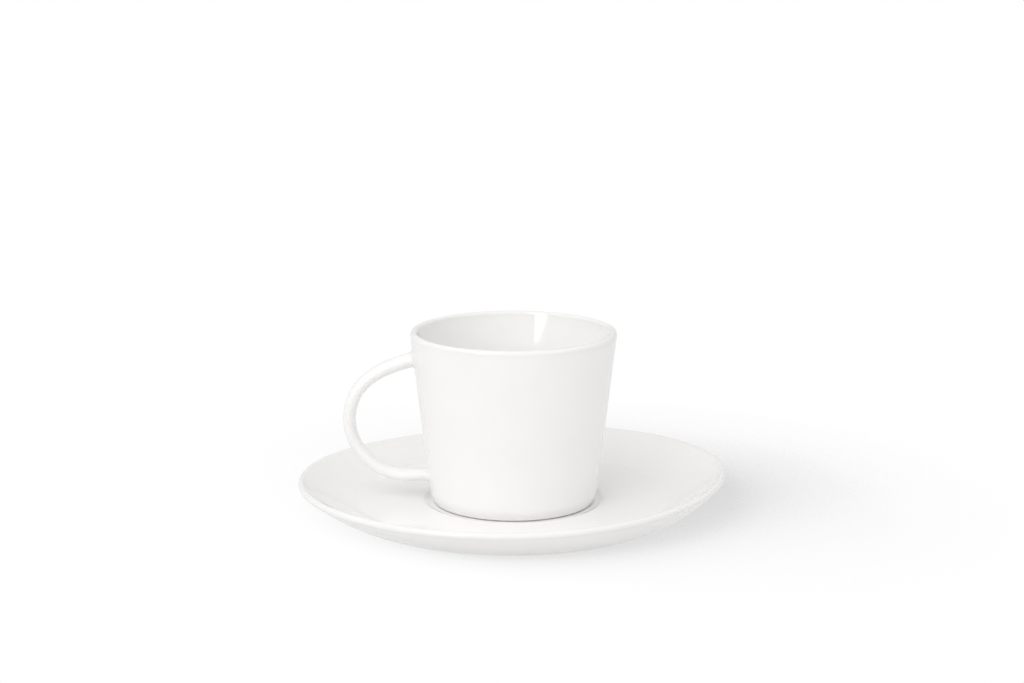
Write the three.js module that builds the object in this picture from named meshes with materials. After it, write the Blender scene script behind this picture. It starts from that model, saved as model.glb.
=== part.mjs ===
// A white porcelain cup with its saucer. The cup is a plain tapering beaker with a slim loop handle.
// It stands in a shallow round well in the saucer, whose rim is a soft and slightly uneven oval.
// Millimetres, +Z up. The origin is on the table, under the middle of the saucer, on the cup's axis.
// The handle points along -X.

import * as THREE from 'three';

// Cup body, with heights counted from the cup's own foot
const CUP_HEIGHT = 69.2;
const CUP_RIM_RADIUS = 41;
const CUP_LIP = 2.9;
const CUP_LIP_TAPER = 17; // rim down to where the wall has its whole thickness
const CUP_WALL = 4.2;
const CUP_FLOOR = 3.6;
const CUP_INSIDE_ROUND = 7;
const CUP_HEEL_CURVE = 9.8; // radius of the soft curve from the wall in to the heel
const CUP_HEEL_LEAN = THREE.MathUtils.degToRad(32); // from the upright, where that curve ends
const CUP_HEEL_ROUND = 0.5;
const CUP_FOOT_RADIUS = 31.8; // outer edge of the flat foot
const CUP_FOOT_FACE = 3.4;
const CUP_FOOT_RECESS = 1.6;

// Handle, a centreline from the upper root round the loop to the lower root
const HANDLE_TOP_DROP = 11.8; // rim down to the upper root
const HANDLE_TOP_DIP = THREE.MathUtils.degToRad(14.7);
const HANDLE_TOP_PULL = 17;
const HANDLE_REACH = 24.7; // rim radius out to the loop's outermost point
const HANDLE_REACH_RISE = 32.4; // foot up to that point
const HANDLE_REACH_PULL_UP = 13.7;
const HANDLE_REACH_PULL_DOWN = 12.5;
const HANDLE_FOOT_RISE = 9.9; // foot up to the lower root
const HANDLE_FOOT_PULL = 10;
const HANDLE_FOOT_RUN = 9.4; // straight stretch at the lower root
const HANDLE_TOP_THICKNESS = 5.8;
const HANDLE_MID_THICKNESS = 5;
const HANDLE_FOOT_THICKNESS = 4.8;
const HANDLE_DEPTH = 8;
const HANDLE_TOP_FILLET = 1.8;
const HANDLE_FOOT_FILLET = 1;

// Saucer, with heights counted from the table
const SAUCER_HEIGHT = 16.8;
const SAUCER_RIM_RADIUS = 83; // mean radius of the rim
const SAUCER_OVAL_SWELL = 5; // how far the rim leaves the round, twice a turn
const SAUCER_OVAL_HEADING = THREE.MathUtils.degToRad(29);
const SAUCER_LOBE_SWELL = 1.8; // and three times a turn, which makes it uneven
const SAUCER_LOBE_HEADING = THREE.MathUtils.degToRad(43);
const SAUCER_LIP = 2.7;
const SAUCER_BEND_RADIUS = 62; // where the flat floor ends and the flare begins
const SAUCER_FLARE_CURVE = 1.6; // power of the flare's rise towards the rim
const SAUCER_DISH_FALL = 0.4; // slope of the floor towards the well
const SAUCER_FLOOR = 3.9; // porcelain under the well
const SAUCER_FOOT_RADIUS = 50;
const SAUCER_FOOT_FACE = 2.6;
const SAUCER_FOOT_DRAFT = 1;
const SAUCER_FOOT_HEIGHT = 2.8;
const WELL_DEPTH = 1;
const WELL_SLOPE = THREE.MathUtils.degToRad(32); // the steepest of the well's soft edge

// Clearances
const WELL_CLEARANCE = 3.6; // edge of the cup's foot out to the middle of the well's slope
const SEAT_GAP = 0.3; // under the cup's foot
const ROOT_GAP = 0.3; // between the cup's wall and the handle's roots

// Fineness of the facets
const TURN_STEPS = 80;
const ARC_STEPS = 4;
const FLARE_STEPS = 7;
const LIP_STEPS = 7;
const WELL_STEPS = 3;
const SECTION_STEPS = 20;
const LOOP_STEPS = 28;
const FILLET_STEPS = 4;

const PORCELAIN_COLOUR = 0xf4f3f0;
const QUARTER_TURN = Math.PI / 2;
const SAME_POINT = 1e-6;

// A mesh of one piece, in glazed porcelain of its own
function porcelainPiece(name, geometry) {
  const material = new THREE.MeshStandardMaterial({
    color: PORCELAIN_COLOUR,
    roughness: 0.12,
    metalness: 0,
  });
  const piece = new THREE.Mesh(geometry, material);
  piece.name = name;
  return piece;
}

// Closed skin over rings of equal count, from a first pole to a last one
function skinOver(firstPole, rings, lastPole) {
  const count = rings[0].length;
  const points = [firstPole, ...rings.flat(), lastPole];
  const faces = [];
  const lastIndex = points.length - 1;
  const at = (ring, step) => 1 + ring * count + (step % count);
  for (let step = 0; step < count; step += 1) {
    faces.push(0, at(0, step + 1), at(0, step));
    faces.push(lastIndex, at(rings.length - 1, step), at(rings.length - 1, step + 1));
    for (let ring = 0; ring < rings.length - 1; ring += 1) {
      faces.push(at(ring, step), at(ring, step + 1), at(ring + 1, step + 1));
      faces.push(at(ring, step), at(ring + 1, step + 1), at(ring + 1, step));
    }
  }
  const geometry = new THREE.BufferGeometry().setFromPoints(points);
  geometry.setIndex(faces);
  geometry.computeVertexNormals();
  return geometry;
}

// Tilt from the upright of a straight wall that runs tangent to two rounds. A round that lies on the
// wall's other side has a negative radius.
function wallTiltBetween(lower, lowerRadius, upper, upperRadius) {
  const run = upper.clone().sub(lower);
  const slant = Math.atan2(run.x, run.y);
  return slant - Math.asin((lowerRadius - upperRadius) / run.length());
}

// The cup's section in its half plane: x is the radius and y the height. A small round at the heel runs
// into a wide one, the outer wall is the common tangent of that and the lip's round, and the inside ends
// in a round at its floor.
const lipRound = CUP_LIP / 2;
const lipCentre = new THREE.Vector2(CUP_RIM_RADIUS - lipRound, CUP_HEIGHT - lipRound);
const heelCentre = new THREE.Vector2(CUP_FOOT_RADIUS, CUP_HEEL_ROUND);
const curveCentre = new THREE.Vector2(-Math.cos(CUP_HEEL_LEAN), Math.sin(CUP_HEEL_LEAN))
  .multiplyScalar(CUP_HEEL_CURVE - CUP_HEEL_ROUND)
  .add(heelCentre);
const outerTilt = wallTiltBetween(curveCentre, CUP_HEEL_CURVE, lipCentre, lipRound);
const outerWallFoot = new THREE.Vector2(Math.cos(outerTilt), -Math.sin(outerTilt))
  .multiplyScalar(CUP_HEEL_CURVE)
  .add(curveCentre);

// Radius of the cup's outer wall at a height above the cup's foot
function outerWallRadius(height) {
  return outerWallFoot.x + (height - outerWallFoot.y) * Math.tan(outerTilt);
}

function cupBodyGeometry() {
  const insideFloor = CUP_FOOT_RECESS + CUP_FLOOR;
  const roundHeight = insideFloor + CUP_INSIDE_ROUND;
  const roundRadius = outerWallRadius(roundHeight) - CUP_WALL - CUP_INSIDE_ROUND;
  const roundCentre = new THREE.Vector2(roundRadius, roundHeight);
  const taperHeight = CUP_HEIGHT - CUP_LIP_TAPER;
  const taperEnd = new THREE.Vector2(outerWallRadius(taperHeight) - CUP_WALL, taperHeight);
  const lipTilt = wallTiltBetween(taperEnd, 0, lipCentre, -lipRound);
  const innerTilt = wallTiltBetween(roundCentre, CUP_INSIDE_ROUND, taperEnd, 0);
  const footInner = CUP_FOOT_RADIUS - CUP_FOOT_FACE;

  const section = new THREE.Path();
  section.moveTo(0, CUP_FOOT_RECESS);
  section.lineTo(footInner - CUP_FOOT_RECESS, CUP_FOOT_RECESS);
  section.lineTo(footInner, 0);
  section.absarc(heelCentre.x, heelCentre.y, CUP_HEEL_ROUND, -QUARTER_TURN, -CUP_HEEL_LEAN, false);
  section.absarc(curveCentre.x, curveCentre.y, CUP_HEEL_CURVE, -CUP_HEEL_LEAN, -outerTilt, false);
  section.absarc(lipCentre.x, lipCentre.y, lipRound, -outerTilt, Math.PI - lipTilt, false);
  section.lineTo(taperEnd.x, taperEnd.y);
  section.absarc(roundRadius, roundHeight, CUP_INSIDE_ROUND, -innerTilt, -QUARTER_TURN, true);
  section.lineTo(0, insideFloor);

  // Rounds that touch share a point, which is kept once
  const points = section.getPoints(ARC_STEPS);
  const corners = points.filter((point, at) => at === 0 || point.distanceTo(points[at - 1]) > SAME_POINT);
  return new THREE.LatheGeometry(corners, TURN_STEPS).rotateX(QUARTER_TURN);
}

// The handle's roots lie on the cup's wall, grown by the root gap
function rootRadius(height) {
  return outerWallRadius(height) + ROOT_GAP;
}

function rootPoint(height) {
  return new THREE.Vector3(-rootRadius(height), 0, height);
}

// A point moved straight towards or away from the cup's axis, onto the roots' cone
function seatedOnRoot(point) {
  const share = rootRadius(point.z) / Math.hypot(point.x, point.y);
  return new THREE.Vector3(point.x * share, point.y * share, point.z);
}

// Where a line from a point outside the roots' cone first meets it
function meetingWithRoot(point, direction) {
  const radius = rootRadius(point.z);
  const growth = Math.tan(outerTilt) * direction.z;
  const squareTerm = direction.x ** 2 + direction.y ** 2 - growth ** 2;
  const halfTerm = point.x * direction.x + point.y * direction.y - radius * growth;
  const restTerm = point.x ** 2 + point.y ** 2 - radius ** 2;
  const distance = (-halfTerm - Math.sqrt(halfTerm ** 2 - squareTerm * restTerm)) / squareTerm;
  return point.clone().addScaledVector(direction, distance);
}

function handleCentreline() {
  const top = rootPoint(CUP_HEIGHT - HANDLE_TOP_DROP);
  const foot = rootPoint(HANDLE_FOOT_RISE);
  const outermost = new THREE.Vector3(-CUP_RIM_RADIUS - HANDLE_REACH, 0, HANDLE_REACH_RISE);
  const bend = foot.clone().setX(foot.x - HANDLE_FOOT_RUN);

  const topLine = new THREE.Vector3(-Math.cos(HANDLE_TOP_DIP), 0, -Math.sin(HANDLE_TOP_DIP));
  const topPull = top.clone().addScaledVector(topLine, HANDLE_TOP_PULL);
  const pullUp = outermost.clone().setZ(outermost.z + HANDLE_REACH_PULL_UP);
  const pullDown = outermost.clone().setZ(outermost.z - HANDLE_REACH_PULL_DOWN);
  const bendPull = bend.clone().setX(bend.x - HANDLE_FOOT_PULL);

  const centreline = new THREE.CurvePath();
  centreline.add(new THREE.CubicBezierCurve3(top, topPull, pullUp, outermost));
  centreline.add(new THREE.CubicBezierCurve3(outermost, pullDown, bendPull, bend));
  centreline.add(new THREE.LineCurve3(bend, foot));
  return centreline;
}

// Thickness in the loop's plane, from the upper root over the middle to the lower root
function handleThickness(share) {
  if (share < 0.5) {
    return THREE.MathUtils.lerp(HANDLE_TOP_THICKNESS, HANDLE_MID_THICKNESS, share * 2);
  }
  return THREE.MathUtils.lerp(HANDLE_MID_THICKNESS, HANDLE_FOOT_THICKNESS, share * 2 - 1);
}

// An oval section square to the centreline
function handleSection(centreline, share) {
  const centre = centreline.getPointAt(share);
  const along = centreline.getTangentAt(share);
  const across = new THREE.Vector3(0, 1, 0);
  const outwards = across.clone().cross(along);
  const points = [];
  for (let step = 0; step < SECTION_STEPS; step += 1) {
    const turn = (step / SECTION_STEPS) * 2 * Math.PI;
    const point = centre.clone();
    point.addScaledVector(outwards, (Math.cos(turn) * handleThickness(share)) / 2);
    point.addScaledVector(across, (Math.sin(turn) * HANDLE_DEPTH) / 2);
    points.push(point);
  }
  return { centre, along, points };
}

// A root: rings that leave an end section, flare in a concave round and land on the cup's wall, with
// one ring more on the wall and its middle to close it
function handleRoot(section, towardsWall, fillet) {
  const middle = meetingWithRoot(section.centre, towardsWall);
  const landings = section.points.map((point) => {
    const meeting = meetingWithRoot(point, towardsWall);
    const spread = point.clone().sub(section.centre).setLength(fillet);
    return { point, meeting, landing: seatedOnRoot(meeting.clone().add(spread)) };
  });
  const rings = [];
  for (let step = 1; step <= FILLET_STEPS; step += 1) {
    const turn = (step / FILLET_STEPS) * QUARTER_TURN;
    rings.push(landings.map(({ point, meeting, landing }) => {
      const forward = meeting.clone().sub(point).multiplyScalar(Math.sin(turn));
      const sideways = landing.clone().sub(meeting).multiplyScalar(1 - Math.cos(turn));
      return point.clone().add(forward).add(sideways);
    }));
  }
  rings.push(landings.map(({ landing }) => seatedOnRoot(landing.clone().lerp(middle, 0.5))));
  return { rings, middle };
}

function handleGeometry() {
  const centreline = handleCentreline();
  const fromShare = HANDLE_TOP_FILLET / centreline.getLength();
  const toShare = 1 - HANDLE_FOOT_FILLET / centreline.getLength();
  const sections = [];
  for (let step = 0; step <= LOOP_STEPS; step += 1) {
    const share = THREE.MathUtils.lerp(fromShare, toShare, step / LOOP_STEPS);
    sections.push(handleSection(centreline, share));
  }
  const first = sections[0];
  const last = sections[LOOP_STEPS];
  const upperRoot = handleRoot(first, first.along.clone().negate(), HANDLE_TOP_FILLET);
  const lowerRoot = handleRoot(last, last.along, HANDLE_FOOT_FILLET);
  const rings = [
    ...upperRoot.rings.reverse(),
    ...sections.map((section) => section.points),
    ...lowerRoot.rings,
  ];
  return skinOver(upperRoot.middle, rings, lowerRoot.middle);
}

// Plan outlines of the saucer, each a ring of points counted anticlockwise from +X
function roundOutline(radius) {
  const outline = [];
  for (let step = 0; step < TURN_STEPS; step += 1) {
    const turn = (step / TURN_STEPS) * 2 * Math.PI;
    outline.push(new THREE.Vector2(Math.cos(turn), Math.sin(turn)).multiplyScalar(radius));
  }
  return outline;
}

function rimOutline() {
  const outline = roundOutline(1).map((point) => {
    const oval = SAUCER_OVAL_SWELL * Math.cos(2 * (point.angle() - SAUCER_OVAL_HEADING));
    const lobe = SAUCER_LOBE_SWELL * Math.cos(3 * (point.angle() - SAUCER_LOBE_HEADING));
    return point.setLength(SAUCER_RIM_RADIUS + oval + lobe);
  });
  const middle = new THREE.Box2().setFromPoints(outline).getCenter(new THREE.Vector2());
  return outline.map((point) => point.sub(middle));
}

function inset(outline, depth) {
  return outline.map((point) => point.clone().setLength(point.length() - depth));
}

function blend(from, to, share) {
  return from.map((point, step) => point.clone().lerp(to[step], share));
}

function atHeight(outline, height) {
  return outline.map((point) => new THREE.Vector3(point.x, point.y, height));
}

// Slope of a flare where it reaches the lip, for its whole rise
function flareSlope(rise) {
  return Math.atan2(SAUCER_FLARE_CURVE * rise, SAUCER_RIM_RADIUS - SAUCER_BEND_RADIUS);
}

const seatHeight = SAUCER_FOOT_HEIGHT + SAUCER_FLOOR;

function saucerGeometry() {
  const wellRadius = CUP_FOOT_RADIUS + WELL_CLEARANCE;
  const wellEdge = seatHeight + WELL_DEPTH;
  const bendHeight = wellEdge + SAUCER_DISH_FALL;
  const lipRadius = SAUCER_LIP / 2;
  const lipHeight = SAUCER_HEIGHT - lipRadius;
  const lipFrom = flareSlope(lipHeight - SAUCER_FOOT_HEIGHT) - QUARTER_TURN;
  const lipTo = flareSlope(lipHeight - bendHeight) + QUARTER_TURN;
  const footFaceOuter = SAUCER_FOOT_RADIUS - SAUCER_FOOT_DRAFT;
  const footFaceInner = footFaceOuter - SAUCER_FOOT_FACE;
  const bend = roundOutline(SAUCER_BEND_RADIUS);
  const rim = rimOutline();
  const rings = [];

  // Underside: the recess, the foot ring and the flat floor
  rings.push(atHeight(roundOutline(footFaceInner - SAUCER_FOOT_DRAFT), SAUCER_FOOT_HEIGHT));
  rings.push(atHeight(roundOutline(footFaceInner), 0));
  rings.push(atHeight(roundOutline(footFaceOuter), 0));
  rings.push(atHeight(roundOutline(SAUCER_FOOT_RADIUS), SAUCER_FOOT_HEIGHT));

  // The rounded lip, from where the outer flare meets it to where the inner one leaves it
  const lipRings = [];
  for (let step = 0; step <= LIP_STEPS; step += 1) {
    const turn = THREE.MathUtils.lerp(lipFrom, lipTo, step / LIP_STEPS);
    const outline = inset(rim, lipRadius * (1 - Math.cos(turn)));
    lipRings.push({ outline, height: lipHeight + lipRadius * Math.sin(turn) });
  }

  // A flare from the round bend to the uneven rim
  function flareRing(fromHeight, lipRing, share) {
    const rise = (lipRing.height - fromHeight) * share ** SAUCER_FLARE_CURVE;
    return atHeight(blend(bend, lipRing.outline, share), fromHeight + rise);
  }
  for (let step = 0; step < FLARE_STEPS; step += 1) {
    rings.push(flareRing(SAUCER_FOOT_HEIGHT, lipRings[0], step / FLARE_STEPS));
  }
  lipRings.forEach(({ outline, height }) => rings.push(atHeight(outline, height)));
  for (let step = FLARE_STEPS - 1; step >= 0; step -= 1) {
    rings.push(flareRing(bendHeight, lipRings[LIP_STEPS], step / FLARE_STEPS));
  }

  // The well's soft edge, a convex round that runs halfway down into a hollow one, and its floor,
  // where the cup stands
  const wellRound = WELL_DEPTH / 2 / (1 - Math.cos(WELL_SLOPE));
  for (let step = -WELL_STEPS; step <= WELL_STEPS; step += 1) {
    const turn = (1 - Math.abs(step) / WELL_STEPS) * WELL_SLOPE;
    const side = -Math.sign(step);
    const sideways = wellRound * (Math.sin(WELL_SLOPE) - Math.sin(turn));
    const upright = wellRound * (Math.cos(turn) - Math.cos(WELL_SLOPE));
    const height = (seatHeight + wellEdge) / 2 + side * upright;
    rings.push(atHeight(roundOutline(wellRadius + side * sideways), height));
  }

  const recessMiddle = new THREE.Vector3(0, 0, SAUCER_FOOT_HEIGHT);
  const wellMiddle = new THREE.Vector3(0, 0, seatHeight);
  return skinOver(recessMiddle, rings, wellMiddle);
}

const cup = new THREE.Group();
cup.position.z = seatHeight + SEAT_GAP;
cup.add(porcelainPiece('cup_body', cupBodyGeometry()));
cup.add(porcelainPiece('handle', handleGeometry()));

const cupWithSaucer = new THREE.Group();
cupWithSaucer.add(porcelainPiece('saucer', saucerGeometry()));
cupWithSaucer.add(cup);

export default cupWithSaucer;
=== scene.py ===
"""A white porcelain cup on its saucer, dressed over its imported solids.

The solids give every piece its place. Over them come finer skins: a tapering cup whose lip is thinned
from the inside, a slim loop handle that flows into the wall at both roots, and a saucer whose round well
opens into an uneven oval rim. Metres, +Z up. The handle points along -X and the camera stands on -Y.
"""

import logging
import math
from dataclasses import dataclass
from enum import Enum
from typing import Any

import bpy
import numpy as np
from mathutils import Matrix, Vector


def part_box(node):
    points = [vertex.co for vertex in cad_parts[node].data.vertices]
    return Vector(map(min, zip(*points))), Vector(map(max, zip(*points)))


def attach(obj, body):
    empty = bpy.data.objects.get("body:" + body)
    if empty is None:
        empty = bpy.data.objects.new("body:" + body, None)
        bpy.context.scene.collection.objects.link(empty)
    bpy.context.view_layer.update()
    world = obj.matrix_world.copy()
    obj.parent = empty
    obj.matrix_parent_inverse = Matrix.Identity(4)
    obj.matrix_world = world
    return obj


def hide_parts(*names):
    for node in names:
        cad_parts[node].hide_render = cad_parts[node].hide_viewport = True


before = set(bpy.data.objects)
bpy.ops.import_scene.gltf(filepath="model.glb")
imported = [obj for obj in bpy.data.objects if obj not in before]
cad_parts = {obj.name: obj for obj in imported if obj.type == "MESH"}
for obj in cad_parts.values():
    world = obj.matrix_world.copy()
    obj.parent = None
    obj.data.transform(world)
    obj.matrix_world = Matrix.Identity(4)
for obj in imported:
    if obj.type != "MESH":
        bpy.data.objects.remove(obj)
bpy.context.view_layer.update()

LOG = logging.getLogger("cup_with_saucer")

MM = 0.001
SAME_POINT = 0.001 * MM
QUARTER_TURN = math.pi / 2
# How finely a section is walked: the turn between points of an arc and the parts of a straight line
ARC_STEP = math.radians(7)
LINE_STEPS = 24
SHORTEST_RUN = 1e-7
# A face whose middle lies lower than this over the foot's own height belongs to the foot face
FOOT_BAND = 0.15 * MM

# Point attribute: how a section bends, above 0 in a hollow and below 0 over an edge. The glaze paints shade
# from it: darker over edges and in hollows
BEND_SHADE = "painted_bend_shade"
# Point attribute of the saucer: how far a point follows the uneven rim, from 0 at the bend to 1 at the lip
RIM_SHARE = "rim_share"
# Face attribute: the foot face, which is wiped clean of glaze so that it doesn't stick in the kiln
BARE = "bare_foot"

# A Mix node has one set of sockets for each kind of value, and these are its colour sockets
MIX_A, MIX_B, MIX_RESULT = 6, 7, 2


class Body(Enum):
    """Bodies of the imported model."""

    SAUCER = "saucer"
    CUP = "cup"


class Slot(Enum):
    """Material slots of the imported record."""

    SAUCER = "saucer_porcelain"
    CUP = "cup_porcelain"


def linear_colour(hex_colour: str) -> tuple[float, float, float, float]:
    """Turns an sRGB hex colour into the linear colour that a socket takes.

    Args:
        hex_colour: six hex digits after a hash sign.

    Returns:
        Red, green, blue and an alpha of 1.
    """
    shares = [int(hex_colour[at : at + 2], 16) / 255 for at in (1, 3, 5)]
    red, green, blue = (
        share / 12.92 if share <= 0.04045 else ((share + 0.055) / 1.055) ** 2.4 for share in shares
    )
    return red, green, blue, 1.0


def add_node(
    tree: bpy.types.NodeTree,
    kind: str,
    settings: dict[str, Any] | None = None,
    inputs: dict[str | int, Any] | None = None,
) -> bpy.types.Node:
    """Adds one node with its settings and its inputs.

    Args:
        tree: the tree that takes the node.
        kind: the node's type name.
        settings: the node's own properties.
        inputs: by name or number, a value to set or another node's output to link.

    Returns:
        The node.
    """
    node = tree.nodes.new(kind)
    for name, value in (settings or {}).items():
        setattr(node, name, value)
    for key, value in (inputs or {}).items():
        if isinstance(value, bpy.types.NodeSocket):
            tree.links.new(value, node.inputs[key])
        else:
            node.inputs[key].default_value = value
    return node


@dataclass(frozen=True)
class Round:
    """One corner of a section, as the arc that softens it.

    A section is walked with the porcelain on its left. A convex corner turns left and has a positive
    radius, a hollow one turns right and has a negative radius, and a bare point has none.
    """

    across: float
    height: float
    radius: float = 0.0


def section_over(rounds: list[Round]) -> np.ndarray:
    """Walks a section over its rounds, like a belt over pulleys, on the straight tangents between them.

    Args:
        rounds: the corners in order, from the first end to the last.

    Returns:
        Rows of distance from the axis and height, close together on the arcs and at the lines' ends.
    """
    centres = np.array([(corner.across, corner.height) for corner in rounds])
    radii = np.array([corner.radius for corner in rounds])
    runs = np.diff(centres, axis=0)
    leans = np.clip(np.diff(radii) / np.linalg.norm(runs, axis=1), -1, 1)
    headings = np.arctan2(runs[:, 1], runs[:, 0]) - np.arcsin(leans)
    walk = [centres[:1]]
    for corner in range(1, len(rounds)):
        arriving = headings[corner - 1]
        leaving = headings[corner] if corner < len(headings) else arriving
        turn = math.remainder(leaving - arriving, 2 * math.pi)
        steps = max(1, math.ceil(abs(turn) / ARC_STEP))
        bearings = arriving + turn * np.linspace(0, 1, steps + 1) - QUARTER_TURN
        arc = centres[corner] + radii[corner] * np.column_stack((np.cos(bearings), np.sin(bearings)))
        if radii[corner] == 0:
            arc = arc[:1]
        straight = arc[0] - walk[-1][-1]
        if np.linalg.norm(straight) < SAME_POINT:
            walk.append(arc[1:])
            continue
        shares = (1 - np.cos(np.linspace(0, math.pi, LINE_STEPS + 1)[1:-1])) / 2
        walk.append(walk[-1][-1] + shares[:, None] * straight)
        walk.append(arc)
    return np.vstack(walk)


def bend_shade_along(section: np.ndarray, reach: float = 1.5 * MM) -> np.ndarray:
    """Says how much painted shade a section gets from how it bends.

    Args:
        section: rows of distance from the axis and height.
        reach: radius of a corner that gets the full painted shade, and how far the shade spreads.

    Returns:
        One value for each row, from -1 on a sharp edge to 1 in a tight hollow.
    """
    runs = np.diff(section, axis=0)
    lengths = np.maximum(np.linalg.norm(runs, axis=1), SHORTEST_RUN)
    headings = np.unwrap(np.arctan2(runs[:, 1], runs[:, 0]))
    bends = np.zeros(len(section))
    bends[1:-1] = -np.diff(headings)
    places = np.concatenate(([0.0], np.cumsum(lengths)))
    apart = (places[:, None] - places[None, :]) / reach
    spread = np.exp(-0.5 * apart**2)
    return np.clip(spread @ bends / math.sqrt(2 * math.pi), -1, 1)


def skin_over(name: str, rings: np.ndarray, first_pole: np.ndarray, last_pole: np.ndarray) -> bpy.types.Mesh:
    """Closes a skin over rings of points, with a pole at each end.

    Args:
        name: the mesh's name.
        rings: rings, points of a ring and coordinates, counted so that the faces point outwards.
        first_pole: the point that closes the first ring.
        last_pole: the point that closes the last ring.

    Returns:
        A smooth closed mesh. Its points are the first pole, the rings and the last pole.
    """
    count, steps, _ = rings.shape
    points = np.vstack((first_pole[None], rings.reshape(-1, 3), last_pole[None]))
    near = np.arange(steps)
    far = (near + 1) % steps
    starts = 1 + steps * np.arange(count - 1)[:, None]
    quads = np.stack((starts + near, starts + far, starts + steps + far, starts + steps + near), axis=-1)
    last_ring = 1 + steps * (count - 1)
    faces = [(0, 1 + b, 1 + a) for a, b in zip(near.tolist(), far.tolist())]
    faces += quads.reshape(-1, 4).tolist()
    faces += [(len(points) - 1, last_ring + a, last_ring + b) for a, b in zip(near.tolist(), far.tolist())]
    mesh = bpy.data.meshes.new(name)
    mesh.from_pydata(points.tolist(), [], faces)
    mesh.shade_smooth()
    return mesh


def give_points(mesh: bpy.types.Mesh, name: str, values: np.ndarray) -> None:
    """Stores one number for each point of a mesh.

    Args:
        mesh: the mesh.
        name: the attribute's name.
        values: the numbers, in the order of the points.
    """
    attribute = mesh.attributes.new(name, "FLOAT", "POINT")
    attribute.data.foreach_set("value", values.astype(np.float32))


def turned(name: str, section: np.ndarray, lift: float, steps: int) -> bpy.types.Mesh:
    """Turns a section about the Z axis, as on a potter's wheel.

    Args:
        name: the mesh's name.
        section: rows of distance from the axis and height, with both ends on the axis.
        lift: height of the section's zero above the table.
        steps: points in each ring.

    Returns:
        A closed mesh that carries how its section bends, for the glaze's painted shade.
    """
    turns = np.linspace(0, 2 * math.pi, steps, endpoint=False)
    rows = section[1:-1]
    rings = np.empty((len(rows), steps, 3))
    rings[..., 0] = rows[:, :1] * np.cos(turns)
    rings[..., 1] = rows[:, :1] * np.sin(turns)
    rings[..., 2] = rows[:, 1:] + lift
    poles = [np.array((0.0, 0.0, section[end, 1] + lift)) for end in (0, -1)]
    mesh = skin_over(name, rings, *poles)
    # Painted shade: the section's bends, for darker edges and hollows in the glaze
    give_points(mesh, BEND_SHADE, over_rings(bend_shade_along(section), steps))
    return mesh


def over_rings(values: np.ndarray, steps: int) -> np.ndarray:
    """Repeats a section's values round its rings, with one value for each pole."""
    return np.concatenate((values[:1], np.repeat(values[1:-1], steps), values[-1:]))


def in_scene(name: str, mesh: bpy.types.Mesh) -> bpy.types.Object:
    """Puts a mesh in the scene, at the origin, under the name given."""
    piece = bpy.data.objects.new(name, mesh)
    bpy.context.scene.collection.objects.link(piece)
    return piece


def settle(piece: bpy.types.Object, body: Body, node: str) -> None:
    """Hands a finished piece to the frame.

    Args:
        piece: the piece, at its place.
        body: the body that carries it.
        node: the solid that it stands for.
    """
    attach(piece, body.value)
    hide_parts(node)
    faces = len(piece.data.polygons)
    LOG.info("%s: %d faces, on %s, for %s", piece.name, faces, body.value, node)


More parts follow.
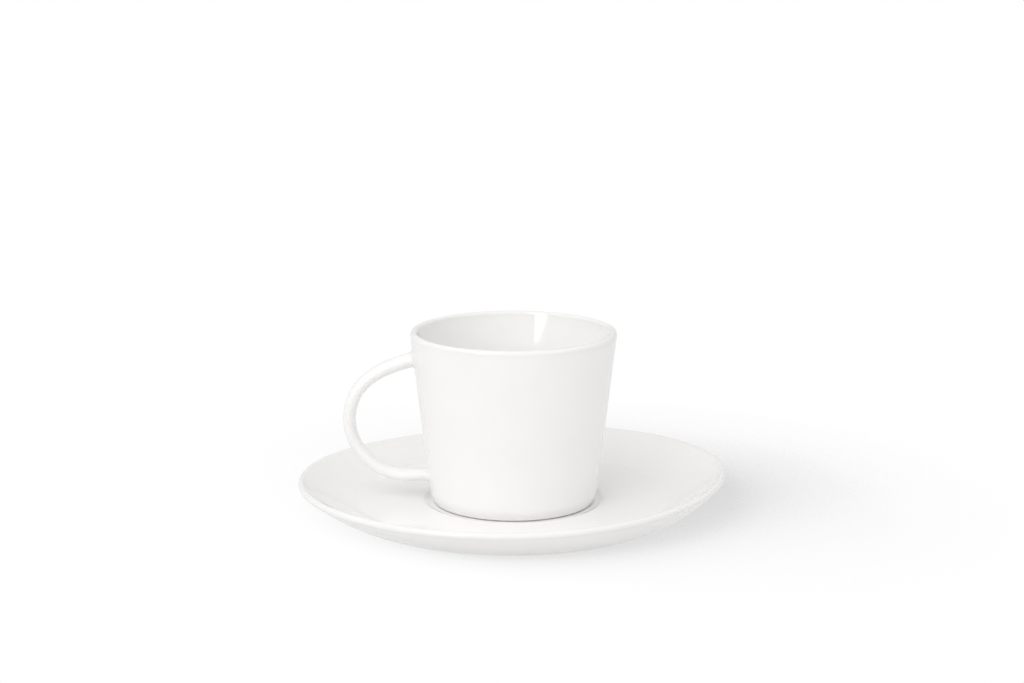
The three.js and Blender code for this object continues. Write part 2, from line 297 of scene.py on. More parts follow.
@dataclass(frozen=True)
class GlazedPorcelain:
    """Hard-paste porcelain under a clear feldspar glaze, dipped and fired glossy.

    The white body shows through a fine sheet of glass, so the eye gets a bright, faintly warm white with
    sharp reflections. Its colour is painted a shade darker over the edges, which tones down their highlight,
    and painted a shade darker and cooler in the hollows as shade. Slow waves make a straight reflection waver.
    """

    name: str
    # Painted shade: edges get a darker colour that tones down their highlight, and hollows get a darker one as
    # shade
    edge_shade_colour: str = "#F4F3F1"
    body_colour: str = "#F8F7F6"
    hollow_shade_colour: str = "#F2F2F1"
    ior: float = 1.5
    roughness_smooth: float = 0.025
    roughness_dull: float = 0.06
    cloud_size: float = 22 * MM
    cloud_range: tuple[float, float] = (0.3, 0.7)
    cloud_wander: float = 0.2
    edge_shade_full: float = -0.7
    hollow_shade_full: float = 0.9
    wave_size: float = 4.5 * MM
    wave_height: float = 0.004 * MM

    def make(self) -> bpy.types.Material:
        """Makes the material.

        Returns:
            The material, which reads Object coordinates and the bend shade attribute.
        """
        material = bpy.data.materials.new(self.name)
        material.use_nodes = True
        tree = material.node_tree
        tree.nodes.clear()
        place = add_node(tree, "ShaderNodeTexCoord").outputs["Object"]
        clouds = add_node(
            tree,
            "ShaderNodeTexNoise",
            inputs={"Vector": place, "Scale": 1 / self.cloud_size, "Detail": 3.0, "Roughness": 0.45},
        ).outputs["Fac"]
        # Painted shade from the bend attribute: darker over sharp edges and in hollows
        shade_by_bend = add_node(tree, "ShaderNodeAttribute", {"attribute_name": BEND_SHADE}).outputs["Fac"]
        low, high = self.cloud_range
        wander = add_node(
            tree,
            "ShaderNodeMapRange",
            inputs={0: clouds, 1: low, 2: high, 3: -self.cloud_wander, 4: self.cloud_wander},
        )
        # The painted shade's measure, with random clouds added: below 0 towards edge shade, above 0 towards
        # hollow shade
        depth = add_node(tree, "ShaderNodeMath", {"operation": "ADD"}, {0: shade_by_bend, 1: wander.outputs[0]})
        edge_shade_share, hollow_shade_share = (
            add_node(tree, "ShaderNodeMapRange", inputs={0: depth.outputs[0], 1: 0.0, 2: limit, 3: 0.0, 4: 1.0})
            for limit in (self.edge_shade_full, self.hollow_shade_full)
        )
        edge_shaded = add_node(
            tree,
            "ShaderNodeMix",
            {"data_type": "RGBA"},
            {
                0: edge_shade_share.outputs[0],
                MIX_A: linear_colour(self.body_colour),
                MIX_B: linear_colour(self.edge_shade_colour),
            },
        )
        colour = add_node(
            tree,
            "ShaderNodeMix",
            {"data_type": "RGBA"},
            {
                0: hollow_shade_share.outputs[0],
                MIX_A: edge_shaded.outputs[MIX_RESULT],
                MIX_B: linear_colour(self.hollow_shade_colour),
            },
        )
        gloss = add_node(
            tree,
            "ShaderNodeMapRange",
            inputs={0: clouds, 1: low, 2: high, 3: self.roughness_smooth, 4: self.roughness_dull},
        )
        waves = add_node(
            tree,
            "ShaderNodeTexNoise",
            inputs={"Vector": place, "Scale": 1 / self.wave_size, "Detail": 1.0, "Roughness": 0.3},
        )
        relief = add_node(
            tree,
            "ShaderNodeBump",
            inputs={"Strength": 1.0, "Distance": self.wave_height, "Height": waves.outputs["Fac"]},
        )
        shader = add_node(
            tree,
            "ShaderNodeBsdfPrincipled",
            inputs={
                "Base Color": colour.outputs[MIX_RESULT],
                "Roughness": gloss.outputs[0],
                "IOR": self.ior,
                "Normal": relief.outputs["Normal"],
            },
        )
        add_node(tree, "ShaderNodeOutputMaterial", inputs={"Surface": shader.outputs[0]})
        return material


@dataclass(frozen=True)
class BarePorcelain:
    """The same porcelain without glaze, as the wiped foot ring shows it.

    Vitrified but dull: a dry, slightly greyer white with a fine grit that the fingers feel and the eye
    sees as a soft bloom in place of a reflection.
    """

    name: str
    colour: str = "#E9E6DF"
    soiled_colour: str = "#DAD6CD"
    ior: float = 1.5
    roughness: float = 0.7
    grit_size: float = 0.35 * MM
    grit_height: float = 0.02 * MM
    rub_size: float = 6 * MM

    def make(self) -> bpy.types.Material:
        """Makes the material.

        Returns:
            The material, which reads Object coordinates.
        """
        material = bpy.data.materials.new(self.name)
        material.use_nodes = True
        tree = material.node_tree
        tree.nodes.clear()
        place = add_node(tree, "ShaderNodeTexCoord").outputs["Object"]
        rubs = add_node(
            tree,
            "ShaderNodeTexNoise",
            inputs={"Vector": place, "Scale": 1 / self.rub_size, "Detail": 4.0, "Roughness": 0.6},
        )
        share = add_node(tree, "ShaderNodeMapRange", inputs={0: rubs.outputs["Fac"], 1: 0.4, 2: 0.7})
        colour = add_node(
            tree,
            "ShaderNodeMix",
            {"data_type": "RGBA"},
            {
                0: share.outputs[0],
                MIX_A: linear_colour(self.colour),
                MIX_B: linear_colour(self.soiled_colour),
            },
        )
        grit = add_node(
            tree,
            "ShaderNodeTexNoise",
            inputs={"Vector": place, "Scale": 1 / self.grit_size, "Detail": 2.0, "Roughness": 0.5},
        )
        relief = add_node(
            tree,
            "ShaderNodeBump",
            inputs={"Strength": 1.0, "Distance": self.grit_height, "Height": grit.outputs["Fac"]},
        )
        shader = add_node(
            tree,
            "ShaderNodeBsdfPrincipled",
            inputs={
                "Base Color": colour.outputs[MIX_RESULT],
                "Roughness": self.roughness,
                "IOR": self.ior,
                "Normal": relief.outputs["Normal"],
            },
        )
        add_node(tree, "ShaderNodeOutputMaterial", inputs={"Surface": shader.outputs[0]})
        return material


@dataclass
class TaperingCup:
    """The cup: a straight tapering wall that curves in to a crisp heel, with a lip thinned from the inside.

    Heights count from the cup's own foot.
    """

    lift: float
    height: float = 69.2 * MM
    rim_radius: float = 41 * MM
    heel_curve: float = 9.8 * MM
    heel_lean: float = math.radians(32)
    heel_round: float = 0.5 * MM
    foot_radius: float = 31.8 * MM
    lip: float = 2.9 * MM
    wall: float = 4.2 * MM
    lip_taper: float = 17 * MM
    taper_round: float = 22 * MM
    floor: float = 3.6 * MM
    inside_round: float = 7 * MM
    foot_face: float = 3.4 * MM
    foot_recess: float = 1.6 * MM
    recess_round: float = 1 * MM
    foot_edge_round: float = 0.5 * MM
    turn_steps: int = 224

    def curve(self) -> Round:
        """Places the soft curve that leads the wall in to the heel, touching the heel's small round."""
        apart = self.heel_curve - self.heel_round
        across = self.foot_radius - apart * math.cos(self.heel_lean)
        return Round(across, self.heel_round + apart * math.sin(self.heel_lean), self.heel_curve)

    def outer_tilt(self) -> float:
        """Gives the outer wall's lean from the upright, as the tangent of the heel's curve and the lip.

        Returns:
            The lean, in radians.
        """
        curve = self.curve()
        across = self.rim_radius - self.lip / 2 - curve.across
        rise = self.height - self.lip / 2 - curve.height
        return math.atan2(across, rise) - math.asin((curve.radius - self.lip / 2) / math.hypot(across, rise))

    def outer_radius(self, height: float | np.ndarray) -> float | np.ndarray:
        """Gives the outer wall's radius at heights above the foot.

        Args:
            height: one height or an array of them.

        Returns:
            The radius at each height.
        """
        curve, tilt = self.curve(), self.outer_tilt()
        start_radius = curve.across + curve.radius * math.cos(tilt)
        start_height = curve.height - curve.radius * math.sin(tilt)
        return start_radius + (height - start_height) * math.tan(tilt)

    def section(self) -> np.ndarray:
        """Walks the cup's section, from the middle of the underside over the lip to the inside floor.

        Returns:
            Rows of distance from the axis and height above the foot.
        """
        foot_inner = self.foot_radius - self.foot_face
        draft = math.tan(math.pi / 8)
        taper_end = self.height - self.lip_taper
        taper_radius = self.outer_radius(taper_end) - self.wall
        lip_lean = math.atan2(self.rim_radius - self.lip - taper_radius, self.lip_taper - self.lip / 2)
        lean = (lip_lean + self.outer_tilt()) / 2
        inside_floor = self.foot_recess + self.floor
        corner_height = inside_floor + self.inside_round
        return section_over(
            [
                Round(0, self.foot_recess),
                Round(
                    foot_inner - self.foot_recess - self.recess_round * draft,
                    self.foot_recess - self.recess_round,
                    -self.recess_round,
                ),
                Round(foot_inner + self.foot_edge_round * draft, self.foot_edge_round, self.foot_edge_round),
                Round(self.foot_radius, self.heel_round, self.heel_round),
                self.curve(),
                Round(self.rim_radius - self.lip / 2, self.height - self.lip / 2, self.lip / 2),
                Round(
                    taper_radius + self.taper_round * math.cos(lean),
                    taper_end - self.taper_round * math.sin(lean),
                    self.taper_round,
                ),
                Round(
                    self.outer_radius(corner_height) - self.wall - self.inside_round,
                    corner_height,
                    -self.inside_round,
                ),
                Round(0, inside_floor),
            ]
        )

    def build(self, glaze: bpy.types.Material, bare: bpy.types.Material) -> bpy.types.Object:
        """Builds the cup's body and glazes all of it but the foot face.

        Args:
            glaze: finish of the body.
            bare: finish of the foot face.

        Returns:
            The finished piece.
        """
        mesh = turned("turned_cup", self.section(), self.lift, self.turn_steps)
        mesh.materials.append(glaze)
        mesh.materials.append(bare)
        highest = self.lift + FOOT_BAND
        on_foot = [face.center.z < highest for face in mesh.polygons]
        mesh.polygons.foreach_set("material_index", np.array(on_foot, dtype=np.int32))
        cup = in_scene("tapering_cup", mesh)
        settle(cup, Body.CUP, "cup_body")
        return cup


@dataclass
class LoopHandle:
    """The handle: an oval section swept round a loop, with a fillet where each root meets the wall.

    Heights count from the cup's own foot. Its roots sink a hair into the wall, so that the joint that was
    luted with slip and glazed over shows no seam.
    """

    cup: TaperingCup
    top_drop: float = 11.8 * MM
    top_dip: float = math.radians(14.7)
    top_pull: float = 17 * MM
    reach: float = 24.7 * MM
    reach_rise: float = 32.4 * MM
    reach_pull_up: float = 13.7 * MM
    reach_pull_down: float = 12.5 * MM
    foot_rise: float = 9.9 * MM
    foot_pull: float = 10 * MM
    foot_run: float = 9.4 * MM
    top_thickness: float = 5.8 * MM
    mid_thickness: float = 5 * MM
    foot_thickness: float = 4.8 * MM
    depth: float = 8 * MM
    top_fillet: float = 1.8 * MM
    foot_fillet: float = 1 * MM
    seam_depth: float = 0.02 * MM
    root_depth: float = 0.6 * MM
    section_steps: int = 56
    loop_steps: int = 170
    fillet_steps: int = 12
    curve_steps: int = 400
    # Painted shade on the handle's front and back faces, in the edge shade's colour
    side_shade_amount: float = 0.45

    def on_wall(self, points: np.ndarray, depth: float) -> np.ndarray:
        """Moves points level, towards or away from the axis, to a depth under the cup's outer wall.

        Args:
            points: rows of points in the cup's own heights.
            depth: how far under the wall they end.

        Returns:
            The moved points.
        """
        share = (self.cup.outer_radius(points[:, 2]) - depth) / np.hypot(points[:, 0], points[:, 1])
        return np.column_stack((points[:, 0] * share, points[:, 1] * share, points[:, 2]))

    def meets_wall(self, points: np.ndarray, heading: np.ndarray) -> np.ndarray:
        """Follows a heading from points outside the wall until they meet it.

        Args:
            points: rows of points in the cup's own heights.
            heading: the direction, of length 1.

        Returns:
            The meeting points.
        """
        radius = self.cup.outer_radius(points[:, 2]) - self.seam_depth
        growth = math.tan(self.cup.outer_tilt()) * heading[2]
        square = heading[0] ** 2 + heading[1] ** 2 - growth**2
        half = points[:, 0] * heading[0] + points[:, 1] * heading[1] - radius * growth
        rest = points[:, 0] ** 2 + points[:, 1] ** 2 - radius**2
        distance = (-half - np.sqrt(half**2 - square * rest)) / square
        return points + distance[:, None] * heading

    def centreline(self) -> np.ndarray:
        """Walks the loop's centreline from the upper root to the lower one.

        Returns:
            Rows of points, close together.
        """
        top_height = self.cup.height - self.top_drop
        top = np.array((-self.cup.outer_radius(top_height), 0, top_height))
        foot = np.array((-self.cup.outer_radius(self.foot_rise), 0, self.foot_rise))
        outermost = np.array((-self.cup.rim_radius - self.reach, 0, self.reach_rise))
        bend = foot - (self.foot_run, 0, 0)
        top_line = np.array((-math.cos(self.top_dip), 0, -math.sin(self.top_dip)))
        curves = (
            (top, top + self.top_pull * top_line, outermost + (0, 0, self.reach_pull_up), outermost),
            (outermost, outermost - (0, 0, self.reach_pull_down), bend - (self.foot_pull, 0, 0), bend),
            (bend, bend + (foot - bend) / 3, foot + (bend - foot) / 3, foot),
        )
        at = np.linspace(0, 1, self.curve_steps)[:, None]
        parts = [
            (1 - at) ** 3 * a + 3 * (1 - at) ** 2 * at * b + 3 * (1 - at) * at**2 * c + at**3 * d
            for a, b, c, d in curves
        ]
        return np.vstack((parts[0], parts[1][1:], parts[2][1:]))

    def root(self, ring: np.ndarray, heading: np.ndarray, fillet: float) -> list[np.ndarray]:
        """Flares an end of the loop onto the wall.

        Args:
            ring: the last oval of the loop.
            heading: the direction in which the loop runs into the wall.
            fillet: how far the root spreads over the wall.

        Returns:
            Rings from the oval outwards to the wall and a little under it.
        """
        spread = ring - ring.mean(axis=0)
        spread /= np.linalg.norm(spread, axis=1)[:, None]
        meeting = self.meets_wall(ring, heading)
        landing = self.on_wall(meeting + fillet * spread, self.seam_depth)
        rings = []
        for turn in np.linspace(0, QUARTER_TURN, self.fillet_steps + 1)[1:]:
            forward = (meeting - ring) * math.sin(turn)
            rings.append(ring + forward + (landing - meeting) * (1 - math.cos(turn)))
        rings.append(self.on_wall(meeting + (fillet + self.root_depth) * spread, self.root_depth))
        return rings

    def build(self, glaze: bpy.types.Material) -> bpy.types.Object:
        """Builds the handle and glazes it.

        Args:
            glaze: finish of the handle.

        Returns:
            The finished piece.
        """
        line = self.centreline()
        places = np.concatenate(([0.0], np.cumsum(np.linalg.norm(np.diff(line, axis=0), axis=1))))
        stops = np.linspace(self.top_fillet, places[-1] - self.foot_fillet, self.loop_steps + 1)
        centres = np.column_stack([np.interp(stops, places, line[:, axis]) for axis in range(3)])
        headings = np.gradient(line, places, axis=0)
        along = np.column_stack([np.interp(stops, places, headings[:, axis]) for axis in range(3)])
        along /= np.linalg.norm(along, axis=1)[:, None]
        across = np.array((0.0, 1.0, 0.0))
        outwards = np.cross(across, along)
        thickness = np.interp(
            stops / places[-1], (0, 0.5, 1), (self.top_thickness, self.mid_thickness, self.foot_thickness)
        )
        turns = np.linspace(0, 2 * math.pi, self.section_steps, endpoint=False)
        loop = (
            centres[:, None]
            + outwards[:, None] * (np.cos(turns) * thickness[:, None] / 2)[..., None]
            + across * (np.sin(turns) * self.depth / 2)[:, None]
        )
        upper = self.root(loop[0], -along[0], self.top_fillet)
        lower = self.root(loop[-1], along[-1], self.foot_fillet)
        rings = np.stack((*upper[::-1], *loop, *lower))
        rings[..., 2] += self.cup.lift
        mesh = skin_over("swept_handle", rings, rings[0].mean(axis=0), rings[-1].mean(axis=0))
        fillet_share = np.linspace(0, 1, len(upper))
        # Painted shade: the front and back faces of the loop get the edge shade's colour
        painted_side_shade = np.tile(-self.side_shade_amount * np.sin(turns) ** 2, (len(loop), 1))
        # Painted shade: both roots get the hollow shade's colour, fullest where they meet the wall
        root_shade = np.repeat(fillet_share[:, None], self.section_steps, axis=1)
        values = np.vstack((root_shade[::-1], painted_side_shade, root_shade)).ravel()
        give_points(mesh, BEND_SHADE, np.concatenate(([1.0], values, [1.0])))
        mesh.materials.append(glaze)
        handle = in_scene("loop_handle", mesh)
        settle(handle, Body.CUP, "handle")
        return handle


@dataclass
class OvalSaucer:
    """The saucer: a round foot, well and floor that flare into a soft and slightly uneven oval rim.

    Heights count from the table. It is turned round first, and a rule then draws its rim out of round.
    """

    well_radius: float
    height: float = 16.8 * MM
    rim_radius: float = 83 * MM
    oval_swell: float = 5 * MM
    oval_heading: float = math.radians(29)
    lobe_swell: float = 1.8 * MM
    lobe_heading: float = math.radians(43)
    lip: float = 2.7 * MM
    bend_radius: float = 62 * MM
    flare_curve: float = 1.6
    dish_fall: float = 0.4 * MM
    floor: float = 3.9 * MM
    foot_radius: float = 50 * MM
    foot_face: float = 2.6 * MM
    foot_draft: float = 1 * MM
    foot_height: float = 2.8 * MM
    foot_edge_round: float = 0.6 * MM
    foot_corner_round: float = 0.9 * MM
    well_depth: float = 1 * MM
    well_slope: float = math.radians(32)
    turn_steps: int = 288
    flare_steps: int = 36
    lip_steps: int = 20
    plan_steps: int = 720

    def swell(self, turn: np.ndarray) -> np.ndarray:
        """Says how far the rim stands out of the round at a turn from +X."""
        oval = self.oval_swell * np.cos(2 * (turn - self.oval_heading))
        return oval + self.lobe_swell * np.cos(3 * (turn - self.lobe_heading))

    def rim_middle(self) -> tuple[float, float, float]:
        """Finds the middle of the rim's plan, which lies over the cup's axis once it is moved there."""
        turn = np.linspace(0, 2 * math.pi, self.plan_steps, endpoint=False)
        radius = self.rim_radius + self.swell(turn)
        plan = np.column_stack((radius * np.cos(turn), radius * np.sin(turn)))
        middle = (plan.min(axis=0) + plan.max(axis=0)) / 2
        return float(middle[0]), float(middle[1]), 0.0

    def flare_slope(self, rise: float) -> float:
        """Gives a flare's slope where it reaches the lip, from its whole rise."""
        return math.atan2(self.flare_curve * rise, self.rim_radius - self.bend_radius)

    def flare(self, from_height: float, lip_end: np.ndarray) -> np.ndarray:
        """Walks a flare from the bend to the lip, without its ends.

        Args:
            from_height: height of the bend.
            lip_end: distance from the axis and height where the lip begins.

        Returns:
            Rows of distance from the axis, height and share of the way to the rim.
        """
        share = np.linspace(0, 1, self.flare_steps + 1)[1:-1]
        across = self.bend_radius + (lip_end[0] - self.bend_radius) * share
        height = from_height + (lip_end[1] - from_height) * share**self.flare_curve
        return np.column_stack((across, height, share))

    def section(self) -> np.ndarray:
        """Walks the saucer's mean section, from the middle of the underside over the lip to the well.

        Returns:
            Rows of distance from the axis, height and share of the way to the rim.
        """
        seat = self.foot_height + self.floor
        well_edge = seat + self.well_depth
        bend_height = well_edge + self.dish_fall
        face_outer = self.foot_radius - self.foot_draft
        face_inner = face_outer - self.foot_face
        edge, corner = self.foot_edge_round, self.foot_corner_round
        underside = section_over(
            [
                Round(0, self.foot_height),
                Round(face_inner - self.foot_draft - corner / 2, self.foot_height - corner, -corner),
                Round(face_inner + edge / 2, edge, edge),
                Round(face_outer - edge / 2, edge, edge),
                Round(self.foot_radius + corner / 2, self.foot_height - corner, -corner),
                Round(self.bend_radius, self.foot_height),
            ]
        )
        soft = self.well_depth / 2 / (1 - math.cos(self.well_slope))
        half_run = soft * math.sin(self.well_slope)
        dish = section_over(
            [
                Round(self.bend_radius, bend_height),
                Round(self.well_radius + half_run, well_edge - soft, soft),
                Round(self.well_radius - half_run, seat + soft, -soft),
                Round(0, seat),
            ]
        )
        lip_radius = self.lip / 2
        lip_height = self.height - lip_radius
        lip_from = self.flare_slope(lip_height - self.foot_height) - QUARTER_TURN
        lip_to = self.flare_slope(lip_height - bend_height) + QUARTER_TURN
        turn = np.linspace(lip_from, lip_to, self.lip_steps + 1)
        lip = np.column_stack(
            (
                self.rim_radius - lip_radius * (1 - np.cos(turn)),
                lip_height + lip_radius * np.sin(turn),
                np.ones_like(turn),
            )
        )
        below, above = (np.column_stack((part, np.zeros(len(part)))) for part in (underside, dish))
        outer, inner = self.flare(self.foot_height, lip[0]), self.flare(bend_height, lip[-1])
        return np.vstack((below, outer, lip, inner[::-1], above))

    def rim_rule(self) -> bpy.types.NodeTree:
        """Makes the rule that draws the turned saucer's rim out of the round.

        Returns:
            A node tree with the rim's sizes and the two finishes as its inputs.
        """
        tree = bpy.data.node_groups.new("uneven_oval_rim", "GeometryNodeTree")
        sockets = {
            "Saucer": "NodeSocketGeometry",
            "Oval Swell": "NodeSocketFloat",
            "Oval Heading": "NodeSocketFloat",
            "Lobe Swell": "NodeSocketFloat",
            "Lobe Heading": "NodeSocketFloat",
            "Rim Middle": "NodeSocketVector",
            "Glaze": "NodeSocketMaterial",
            "Bare Foot": "NodeSocketMaterial",
        }
        for name, kind in sockets.items():
            tree.interface.new_socket(name, in_out="INPUT", socket_type=kind)
        tree.interface.new_socket("Saucer", in_out="OUTPUT", socket_type="NodeSocketGeometry")
        given = add_node(tree, "NodeGroupInput").outputs
        place = add_node(tree, "GeometryNodeInputPosition").outputs[0]
        parts = add_node(tree, "ShaderNodeSeparateXYZ", inputs={0: place}).outputs
        turn = add_node(tree, "ShaderNodeMath", {"operation": "ARCTAN2"}, {0: parts[1], 1: parts[0]}).outputs[0]
        swells = []
        for name, lobes in (("Oval", 2), ("Lobe", 3)):
            off = add_node(
                tree, "ShaderNodeMath", {"operation": "SUBTRACT"}, {0: turn, 1: given[f"{name} Heading"]}
            )
            phase = add_node(tree, "ShaderNodeMath", {"operation": "MULTIPLY"}, {0: off.outputs[0], 1: lobes})
            wave = add_node(tree, "ShaderNodeMath", {"operation": "COSINE"}, {0: phase.outputs[0]})
            swell = add_node(
                tree,
                "ShaderNodeMath",
                {"operation": "MULTIPLY"},
                {0: wave.outputs[0], 1: given[f"{name} Swell"]},
            )
            swells.append(swell.outputs[0])
        whole = add_node(tree, "ShaderNodeMath", {"operation": "ADD"}, {0: swells[0], 1: swells[1]})
        level = add_node(tree, "ShaderNodeCombineXYZ", inputs={0: parts[0], 1: parts[1]})
        outwards = add_node(tree, "ShaderNodeVectorMath", {"operation": "NORMALIZE"}, {0: level.outputs[0]})
        pushed = add_node(
            tree,
            "ShaderNodeVectorMath",
            {"operation": "SCALE"},
            {"Vector": outwards.outputs[0], "Scale": whole.outputs[0]},
        )
        centred = add_node(
            tree,
            "ShaderNodeVectorMath",
            {"operation": "SUBTRACT"},
            {0: pushed.outputs[0], 1: given["Rim Middle"]},
        )
        share = add_node(
            tree, "GeometryNodeInputNamedAttribute", {"data_type": "FLOAT"}, {"Name": RIM_SHARE}
        )
        offset = add_node(
            tree,
            "ShaderNodeVectorMath",
            {"operation": "SCALE"},
            {"Vector": centred.outputs[0], "Scale": share.outputs["Attribute"]},
        )
        drawn = add_node(
            tree, "GeometryNodeSetPosition", inputs={"Geometry": given["Saucer"], "Offset": offset.outputs[0]}
        )
        real = add_node(tree, "GeometryNodeRealizeInstances", inputs={0: drawn.outputs[0]})
        glazed = add_node(
            tree, "GeometryNodeSetMaterial", inputs={"Geometry": real.outputs[0], "Material": given["Glaze"]}
        )
        wiped = add_node(tree, "GeometryNodeInputNamedAttribute", {"data_type": "BOOLEAN"}, {"Name": BARE})
        done = add_node(
            tree,
            "GeometryNodeSetMaterial",
            inputs={
                "Geometry": glazed.outputs[0],
                "Selection": wiped.outputs["Attribute"],
                "Material": given["Bare Foot"],
            },
        )
        add_node(tree, "NodeGroupOutput", inputs={0: done.outputs[0]})
        return tree

    def build(self, glaze: bpy.types.Material, bare: bpy.types.Material) -> bpy.types.Object:
        """Builds the saucer and glazes all of it but the foot face.

        Args:
            glaze: finish of the saucer.
            bare: finish of the foot face.

        Returns:
            The finished piece.
        """
        section = self.section()
        mesh = turned("turned_saucer", section[:, :2], 0.0, self.turn_steps)
        give_points(mesh, RIM_SHARE, over_rings(section[:, 2], self.turn_steps))
        on_foot = mesh.attributes.new(BARE, "BOOLEAN", "FACE")
        on_foot.data.foreach_set("value", [face.center.z < FOOT_BAND for face in mesh.polygons])
        saucer = in_scene("oval_saucer", mesh)
        tree = self.rim_rule()
        rule = saucer.modifiers.new("uneven_oval_rim", "NODES")
        rule.node_group = tree
        values = {
            "Oval Swell": self.oval_swell,
            "Oval Heading": self.oval_heading,
            "Lobe Swell": self.lobe_swell,
            "Lobe Heading": self.lobe_heading,
            "Rim Middle": self.rim_middle(),
            "Glaze": glaze,
            "Bare Foot": bare,
        }
        for socket in tree.interface.items_tree:
            if socket.in_out == "INPUT" and socket.name in values:
                rule[socket.identifier] = values[socket.name]
        graph = bpy.context.evaluated_depsgraph_get()
        plain = bpy.data.meshes.new_from_object(
            saucer.evaluated_get(graph), preserve_all_data_layers=True, depsgraph=graph
        )
        saucer.modifiers.clear()
        saucer.data = plain
        settle(saucer, Body.SAUCER, "saucer")
        return saucer


@dataclass(frozen=True)
class SkyGlow:
    """One soft glow of the sky: where it is brightest, how bright it is there, and how narrow.

    The bearing counts from +X, anticlockwise. At a narrowness of 1 a glow fills half the sky.
    """

    bearing: float
    elevation: float
    level: float
    narrowness: float

    def heading(self) -> tuple[float, float, float]:
        """Gives the direction from the cup to the middle of the glow."""
        level = math.cos(self.elevation)
        return level * math.cos(self.bearing), level * math.sin(self.bearing), math.sin(self.elevation)


@dataclass
class Studio:
    """A plain white set: a pale floor, a sky of soft glows, one tall softbox at the left and the camera.

    The brightest glows stand at the front left, and the floor's painted shadow falls away from them. The
    softbox stands among them and shows in the glaze only, as an upright strip inside the cup and a line on each
    lip. What the glaze mirrors has its own glows, and the floor is a shade duller there than it looks.
    """

    aim_height: float = 41 * MM
    camera_distance: float = 838.9 * MM
    camera_elevation: float = math.radians(14.013)
    camera_pitch: float = math.radians(-11.972)
    camera_turn: float = math.radians(0.047)
    camera_lens: float = 73.64
    glows: tuple[SkyGlow, ...] = (
        SkyGlow(math.radians(-124), math.radians(30), 1.32, 40),
        SkyGlow(math.radians(-124), math.radians(45), 1.45, 12),
        SkyGlow(math.radians(-60), math.radians(30), 0.6, 12),
        SkyGlow(math.radians(180), math.radians(40), 0.52, 12),
        SkyGlow(math.radians(120), math.radians(40), 0.27, 12),
        SkyGlow(0.0, math.radians(40), 0.18, 12),
        SkyGlow(0.0, 0.0, 0.32, 2),
        SkyGlow(math.radians(90), 0.0, 0.51, 2),
        SkyGlow(0.0, math.radians(90), 0.3, 3),
    )
    mirror_glows: tuple[SkyGlow, ...] = (
        SkyGlow(0.0, 0.0, 0.55, 0),
        SkyGlow(math.radians(-90), 0.0, 0.67, 2),
        SkyGlow(0.0, 0.0, 0.37, 2),
    )
    mirror_level: float = 0.85
    floor_size: float = 6.0
    floor_colour: str = "#F3F3F3"
    shadow_bearing: float = math.radians(-132)
    shadow_elevation: float = math.radians(-20)
    shadow_reach: float = 0.13
    shadow_open: tuple[float, float] = (0.75, 0.93)
    shadow_level: tuple[float, float] = (0.68, 1.0)
    softbox_distance: float = 2.4
    softbox_bearing: float = math.radians(34)
    softbox_elevation: float = math.radians(35)
    softbox_width: float = 0.67
    softbox_height: float = 2.2
    softbox_radiance: float = 3.8

    def by_ray(
        self, tree: bpy.types.NodeTree, light: bpy.types.Node, mirror: bpy.types.Node, look: bpy.types.Node
    ) -> bpy.types.Node:
        """Joins what a ray finds by the kind of ray it is.

        Args:
            tree: the tree that asks.
            light: the shader for rays that gather light.
            mirror: the shader for rays that leave a glossy face.
            look: the shader for rays from the camera or through glass.

        Returns:
            The joined shader.
        """
        rays = add_node(tree, "ShaderNodeLightPath").outputs
        seen = add_node(
            tree,
            "ShaderNodeMath",
            {"operation": "MAXIMUM"},
            {0: rays["Is Camera Ray"], 1: rays["Is Transmission Ray"]},
        )
        plain = add_node(
            tree, "ShaderNodeMixShader", inputs={0: seen.outputs[0], 1: light.outputs[0], 2: look.outputs[0]}
        )
        return add_node(
            tree,
            "ShaderNodeMixShader",
            inputs={0: rays["Is Glossy Ray"], 1: plain.outputs[0], 2: mirror.outputs[0]},
        )

    def add_up(self, tree: bpy.types.NodeTree, glows: tuple[SkyGlow, ...]) -> bpy.types.NodeSocket:
        """Adds glows up for the direction in which a ray leaves.

        Args:
            tree: the world's tree.
            glows: the glows.

        Returns:
            The sky's strength in that direction.
        """
        towards = add_node(tree, "ShaderNodeTexCoord").outputs["Generated"]
        total = None
        for glow in glows:
            facing = add_node(
                tree, "ShaderNodeVectorMath", {"operation": "DOT_PRODUCT"}, {0: towards, 1: glow.heading()}
            )
            share = add_node(tree, "ShaderNodeMapRange", inputs={0: facing.outputs["Value"], 1: -1.0, 2: 1.0})
            shape = add_node(
                tree, "ShaderNodeMath", {"operation": "POWER"}, {0: share.outputs[0], 1: glow.narrowness}
            )
            total = add_node(
                tree,
                "ShaderNodeMath",
                {"operation": "MULTIPLY_ADD"},
                {0: shape.outputs[0], 1: glow.level, 2: total.outputs[0] if total else 0.0},
            )
        return total.outputs[0]

    def build_sky(self) -> None:
        """Makes a sky that lights the cup with its glows and looks plain white."""
        world = bpy.data.worlds.new("soft_white_sky")
        world.use_nodes = True
        tree = world.node_tree
        tree.nodes.clear()
        light = add_node(tree, "ShaderNodeBackground", inputs={"Strength": self.add_up(tree, self.glows)})
        mirror = add_node(
            tree, "ShaderNodeBackground", inputs={"Strength": self.add_up(tree, self.mirror_glows)}
        )
        look = add_node(tree, "ShaderNodeBackground", inputs={"Strength": 1.0})
        for node in (light, mirror, look):
            node.inputs["Color"].default_value = linear_colour("#FFFFFF")
        both = self.by_ray(tree, light, mirror, look)
        add_node(tree, "ShaderNodeOutputWorld", inputs={"Surface": both.outputs[0]})
        bpy.context.scene.world = world

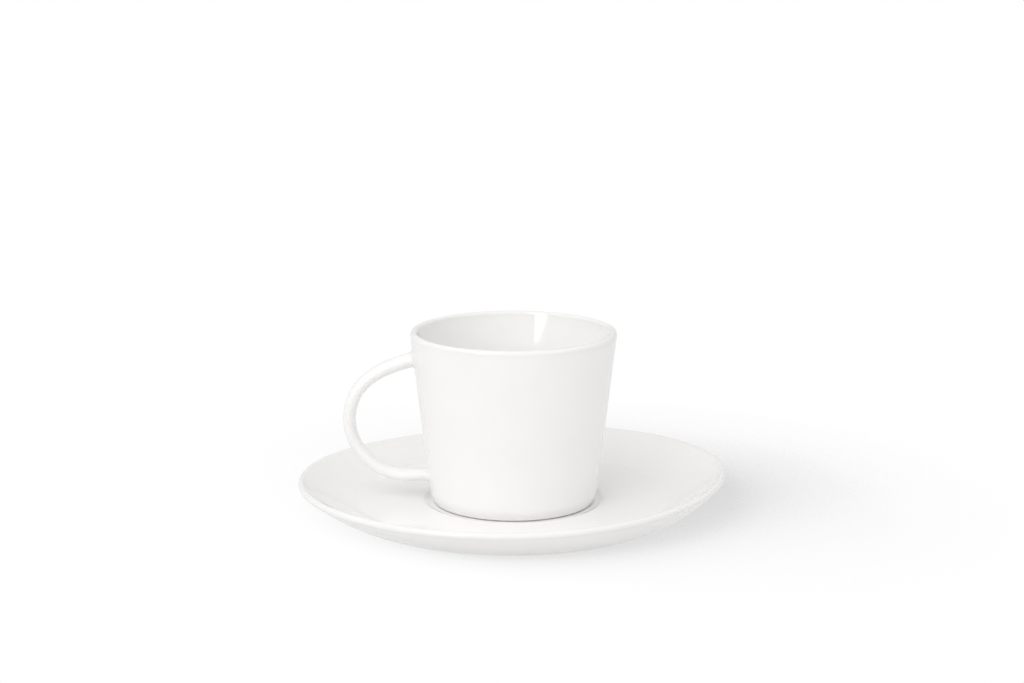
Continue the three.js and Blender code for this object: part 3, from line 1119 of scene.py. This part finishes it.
    def build_floor(self) -> None:
        """Lays a pale matt floor that looks white, with a painted soft shadow: its glow dims where an occlusion
        test towards the front left is closed.
        """
        half = self.floor_size / 2
        corners = [(-half, -half), (half, -half), (half, half), (-half, half)]
        mesh = bpy.data.meshes.new("pale_floor")
        mesh.from_pydata([(x, y, -0.02 * MM) for x, y in corners], [], [(0, 1, 2, 3)])
        material = bpy.data.materials.new("matt_pale_paper")
        material.use_nodes = True
        material.cycles.emission_sampling = "NONE"
        tree = material.node_tree
        tree.nodes.clear()
        paper = add_node(tree, "ShaderNodeBsdfDiffuse", inputs={"Color": linear_colour(self.floor_colour)})
        level = math.cos(self.shadow_elevation)
        to_light = add_node(
            tree,
            "ShaderNodeCombineXYZ",
            inputs={
                0: level * math.cos(self.shadow_bearing),
                1: level * math.sin(self.shadow_bearing),
                2: math.sin(self.shadow_elevation),
            },
        )
        # Painted shadow: the floor's look is an emission that dims by occlusion, not by any lamp
        openness = add_node(
            tree,
            "ShaderNodeAmbientOcclusion",
            {"samples": 8},
            {"Distance": self.shadow_reach, "Normal": to_light.outputs[0]},
        )
        painted_shadow_tone = add_node(
            tree,
            "ShaderNodeMapRange",
            inputs={
                0: openness.outputs["AO"],
                1: self.shadow_open[0],
                2: self.shadow_open[1],
                3: self.shadow_level[0],
                4: self.shadow_level[1],
            },
        )
        look = add_node(tree, "ShaderNodeEmission", inputs={"Strength": painted_shadow_tone.outputs[0]})
        mirror = add_node(tree, "ShaderNodeEmission", inputs={"Strength": self.mirror_level})
        for node in (look, mirror):
            node.inputs["Color"].default_value = linear_colour("#FFFFFF")
        both = self.by_ray(tree, paper, mirror, look)
        add_node(tree, "ShaderNodeOutputMaterial", inputs={"Surface": both.outputs[0]})
        mesh.materials.append(material)
        in_scene("pale_floor", mesh)

    def build_softbox(self) -> None:
        """Hangs the tall softbox at the front left, aimed at the cup."""
        lamp = bpy.data.lights.new("tall_softbox", "AREA")
        lamp.shape = "RECTANGLE"
        lamp.size = self.softbox_width
        lamp.size_y = self.softbox_height
        lamp.energy = self.softbox_radiance * math.pi * self.softbox_width * self.softbox_height
        softbox = bpy.data.objects.new("tall_softbox", lamp)
        level = self.softbox_distance * math.cos(self.softbox_elevation)
        softbox.location = (
            -level * math.sin(self.softbox_bearing),
            -level * math.cos(self.softbox_bearing),
            self.aim_height + self.softbox_distance * math.sin(self.softbox_elevation),
        )
        softbox.rotation_euler = (QUARTER_TURN - self.softbox_elevation, 0, -self.softbox_bearing)
        softbox.visible_camera = False
        softbox.visible_diffuse = False
        bpy.context.scene.collection.objects.link(softbox)

    def build_camera(self) -> None:
        """Sets the camera at the portrait's viewing angle."""
        lens = bpy.data.cameras.new("portrait_camera")
        lens.sensor_width = 36
        lens.lens = self.camera_lens
        lens.clip_start = 0.01
        camera = bpy.data.objects.new("portrait_camera", lens)
        camera.location = (
            0,
            -self.camera_distance * math.cos(self.camera_elevation),
            self.aim_height + self.camera_distance * math.sin(self.camera_elevation),
        )
        camera.rotation_euler = (QUARTER_TURN + self.camera_pitch, 0, self.camera_turn)
        bpy.context.scene.collection.objects.link(camera)
        bpy.context.scene.camera = camera

    def build(self) -> None:
        """Builds the whole set."""
        self.build_sky()
        self.build_floor()
        self.build_softbox()
        self.build_camera()
        bpy.context.scene.view_settings.view_transform = "Standard"
        LOG.info("studio: sky, floor, softbox and camera")


def main() -> None:
    """Builds the cup, its handle, the saucer and the set, in that order."""
    logging.basicConfig(level=logging.INFO, format="%(name)s %(message)s")
    cup_glaze = GlazedPorcelain("glazed_porcelain_cup").make()
    saucer_glaze = GlazedPorcelain("glazed_porcelain_saucer").make()
    bare = BarePorcelain("bare_porcelain_foot").make()
    cup = TaperingCup(lift=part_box("cup_body")[0].z)
    cup.build(cup_glaze, bare)
    LoopHandle(cup).build(cup_glaze)
    OvalSaucer(well_radius=cup.foot_radius + 3.6 * MM).build(saucer_glaze, bare)
    Studio().build()


if __name__ == "__main__":
    main()
